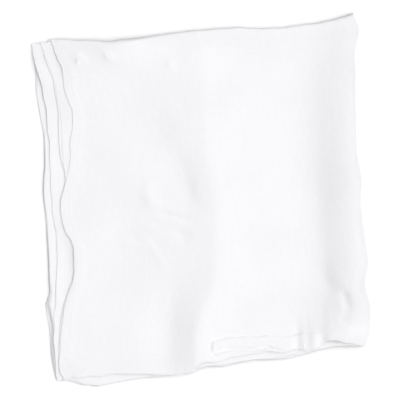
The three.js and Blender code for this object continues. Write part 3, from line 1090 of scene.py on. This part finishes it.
def thread_material():
    """White sewing thread with the turns of its plies, and painted shade that darkens the grooves between
    them.
    """
    material = bpy.data.materials.new("sewing_thread")
    n = Nodes(material)
    place = n.add("ShaderNodeNewGeometry").outputs["Position"]
    plies = n.add(
        "ShaderNodeTexWave",
        {"Vector": place, "Scale": 900.0, "Distortion": 2.0},
        bands_direction="DIAGONAL",
    ).outputs["Fac"]
    shader = n.add(
        "ShaderNodeBsdfPrincipled",
        {
            "Roughness": 0.6,
            "Specular IOR Level": 0.4,
            "Sheen Weight": 0.1,
            "Normal": n.bump(plies, strength=0.3, distance=0.0001),
        },
    )
    # the plies' pattern also makes the bump, and it paints shade into the grooves between the plies
    n.finish(n.colour(plies, PAINTED_PLY_GROOVE_SHADE, THREAD_COLOUR), shader)
    return material


def seen_by_eye(n):
    """1 for rays that reach the camera directly, or by a mirror or glass."""
    path = n.add("ShaderNodeLightPath").outputs
    mirrored = n.math("ADD", path["Is Camera Ray"], path["Is Glossy Ray"])
    return n.math("MINIMUM", n.math("ADD", mirrored, path["Is Transmission Ray"]), 1.0)


def floor_material():
    """A table that looks white and keeps the sheet's shadow, but throws less light back on its sides."""
    material = bpy.data.materials.new("white_table")
    n = Nodes(material)
    eye = seen_by_eye(n)
    diffuse = n.add("ShaderNodeBsdfDiffuse", {"Color": n.colour(eye, TABLE_BOUNCE, TABLE_COLOUR)})
    glow = n.add("ShaderNodeEmission", {"Strength": n.math("MULTIPLY", eye, TABLE_GLOW)})
    both = n.add("ShaderNodeAddShader", {0: diffuse.outputs[0], 1: glow.outputs[0]})
    n.add("ShaderNodeOutputMaterial", {"Surface": both.outputs[0]})
    return material


# ---------------------------------------------------------------- the stage

SKY_LOW = 0.16  # strength of the world's light at the horizon
SKY_HIGH = 0.62  # and overhead
SUN = 2.3  # strength
SUN_HEIGHT = 50  # degrees above the table
SUN_FROM = -2  # degrees from +X towards +Y
SUN_SPREAD = 80  # degrees
LAMP_DISTANCE = 2  # metres
TABLE_REACH = 6  # metres from its middle
CAMERA_TURN = -4  # degrees
CAMERA_HEIGHT = 2200
CAMERA_OVER = (-8.7, 2.3)  # the place that it is above
VIEW_WIDTH = 696  # of the table, across the picture
SENSOR = 36  # width


def make_world():
    """Soft light from all round, stronger from above, in front of a white backdrop."""
    world = bpy.data.worlds.new("soft_studio")
    n = Nodes(world)
    place = n.add("ShaderNodeTexCoord").outputs["Generated"]
    upward = n.add("ShaderNodeSeparateXYZ", {"Vector": place}).outputs["Z"]
    sky = n.add("ShaderNodeMapRange", {"Value": upward, "To Min": SKY_LOW, "To Max": SKY_HIGH}).outputs[0]
    strength = n.add("ShaderNodeMapRange", {"Value": seen_by_eye(n), "To Min": sky, "To Max": 1.0})
    background = n.add("ShaderNodeBackground", {"Color": (1, 1, 1, 1), "Strength": strength.outputs[0]})
    n.add("ShaderNodeOutputWorld", {"Surface": background.outputs[0]})
    bpy.context.scene.world = world


def make_floor():
    mesh = bpy.data.meshes.new("table_top")
    reach = TABLE_REACH
    corners = [(-reach, -reach, 0), (reach, -reach, 0), (reach, reach, 0), (-reach, reach, 0)]
    mesh.from_pydata(corners, [], [(0, 1, 2, 3)])
    mesh.materials.append(floor_material())
    floor = bpy.data.objects.new("table_top", mesh)
    bpy.context.scene.collection.objects.link(floor)


def make_lamp():
    lamp = bpy.data.lights.new("soft_key", "SUN")
    lamp.energy = SUN
    lamp.angle = math.radians(SUN_SPREAD)
    key = bpy.data.objects.new("soft_key", lamp)
    height, heading = math.radians(SUN_HEIGHT), math.radians(SUN_FROM)
    level = math.cos(height)
    from_lamp = Vector((level * math.cos(heading), level * math.sin(heading), math.sin(height)))
    key.rotation_euler = from_lamp.to_track_quat("Z", "Y").to_euler()
    key.location = from_lamp * LAMP_DISTANCE
    bpy.context.scene.collection.objects.link(key)


def make_camera():
    """Straight above, and turned a little."""
    data = bpy.data.cameras.new("camera")
    data.sensor_width = SENSOR
    data.lens = SENSOR * CAMERA_HEIGHT / VIEW_WIDTH
    camera = bpy.data.objects.new("camera", data)
    camera.location = (CAMERA_OVER[0] * MM, CAMERA_OVER[1] * MM, CAMERA_HEIGHT * MM)
    camera.rotation_euler = (0, 0, math.radians(CAMERA_TURN))
    bpy.context.scene.collection.objects.link(camera)
    bpy.context.scene.camera = camera


def make_stage():
    make_world()
    make_floor()
    make_lamp()
    make_camera()
    bpy.context.scene.view_settings.view_transform = "Standard"


# ---------------------------------------------------------------- the model

cloth, shift = make_cloth()
cloth.data.materials.append(cotton_material())
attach(cloth, "root")
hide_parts("folded_sheet")

stitches = make_stitches(shift)
stitches.data.materials.append(thread_material())
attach(stitches, "root")

make_stage()
